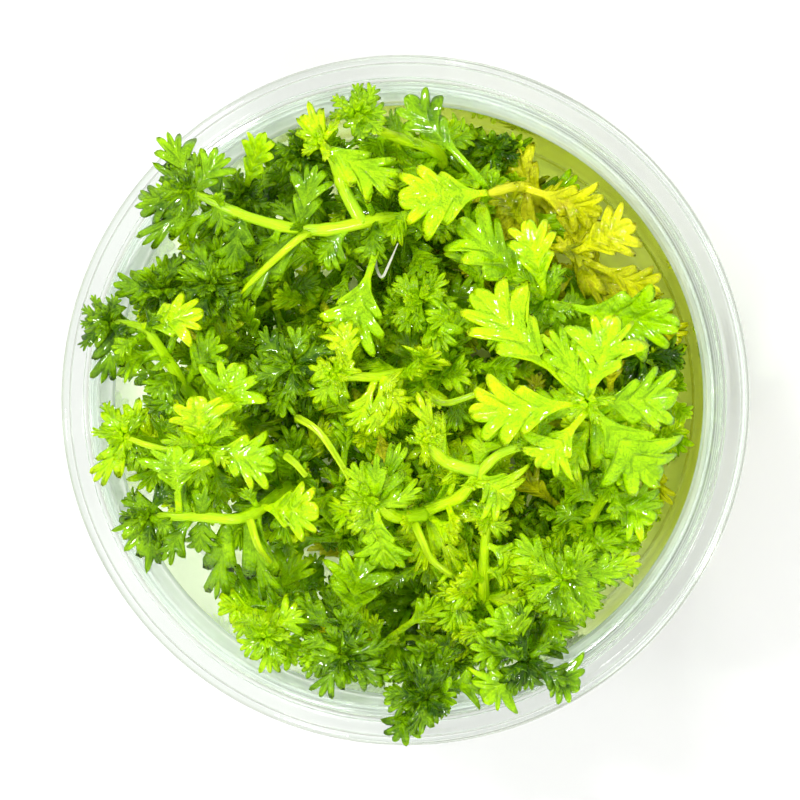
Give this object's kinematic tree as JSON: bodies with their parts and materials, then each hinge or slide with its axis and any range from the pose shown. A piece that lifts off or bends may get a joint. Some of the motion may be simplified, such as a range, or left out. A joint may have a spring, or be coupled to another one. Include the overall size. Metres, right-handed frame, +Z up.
{
  "type": "tissue culture water violet in a cup",
  "caption": "Clear plastic culture cup with a gel bed, packed with bright green water violet plantlets whose lobed leaves reach over its rim.",
  "frame": {"origin": "centre of the cup's underside, at the bottom of the whole part", "axes": "+Z up along the cup's axis, +X to the right and +Y away from the reader in a view from above"},
  "size_m": [0.08, 0.08, 0.0695],
  "materials": {
    "clear_plastic": "clear, glossy",
    "gel": "clear, wet",
    "foliage_dark": "waxy, wet",
    "foliage_green": "waxy, wet",
    "foliage_bright": "waxy, wet",
    "foliage_yellow": "wilted, soft"
  },
  "bodies": {
    "root": {"cup": "clear_plastic", "gel": "gel", "stem_01": "foliage_dark", "stem_02": "foliage_dark", "stem_03": "foliage_dark", "stem_04": "foliage_dark", "stem_05": "foliage_dark", "stem_06": "foliage_dark", "stem_07": "foliage_dark", "stem_08": "foliage_bright", "stem_09": "foliage_green", "stem_10": "foliage_dark", "stem_11": "foliage_bright", "stem_12": "foliage_yellow", "stem_13": "foliage_yellow", "stem_14": "foliage_green", "stem_15": "foliage_bright", "stem_16": "foliage_dark", "stem_17": "foliage_dark", "stem_18": "foliage_bright", "stem_19": "foliage_green", "stem_20": "foliage_bright", "stem_21": "foliage_green", "stem_22": "foliage_dark", "stem_23": "foliage_dark", "stem_24": "foliage_dark", "stem_25": "foliage_green", "stem_26": "foliage_green", "stem_27": "foliage_green", "stem_28": "foliage_bright", "stem_29": "foliage_green", "stem_30": "foliage_green", "leaf_01": "foliage_bright", "leaf_02": "foliage_dark", "leaf_03": "foliage_yellow", "leaf_04": "foliage_yellow", "leaf_05": "foliage_yellow", "leaf_06": "foliage_bright", "leaf_07": "foliage_green", "leaf_08": "foliage_green", "leaf_09": "foliage_bright", "leaf_10": "foliage_green", "leaf_11": "foliage_green", "leaf_12": "foliage_bright", "leaf_13": "foliage_bright", "leaf_14": "foliage_bright", "leaf_15": "foliage_bright", "leaf_16": "foliage_green", "leaf_17": "foliage_dark", "leaf_18": "foliage_green", "leaf_19": "foliage_green", "leaf_20": "foliage_green", "leaf_21": "foliage_bright", "leaf_22": "foliage_green", "leaf_23": "foliage_green", "leaf_24": "foliage_green", "leaf_25": "foliage_bright", "leaf_26": "foliage_green", "leaf_27": "foliage_bright", "leaf_28": "foliage_green"}
  },
  "joints": []
}
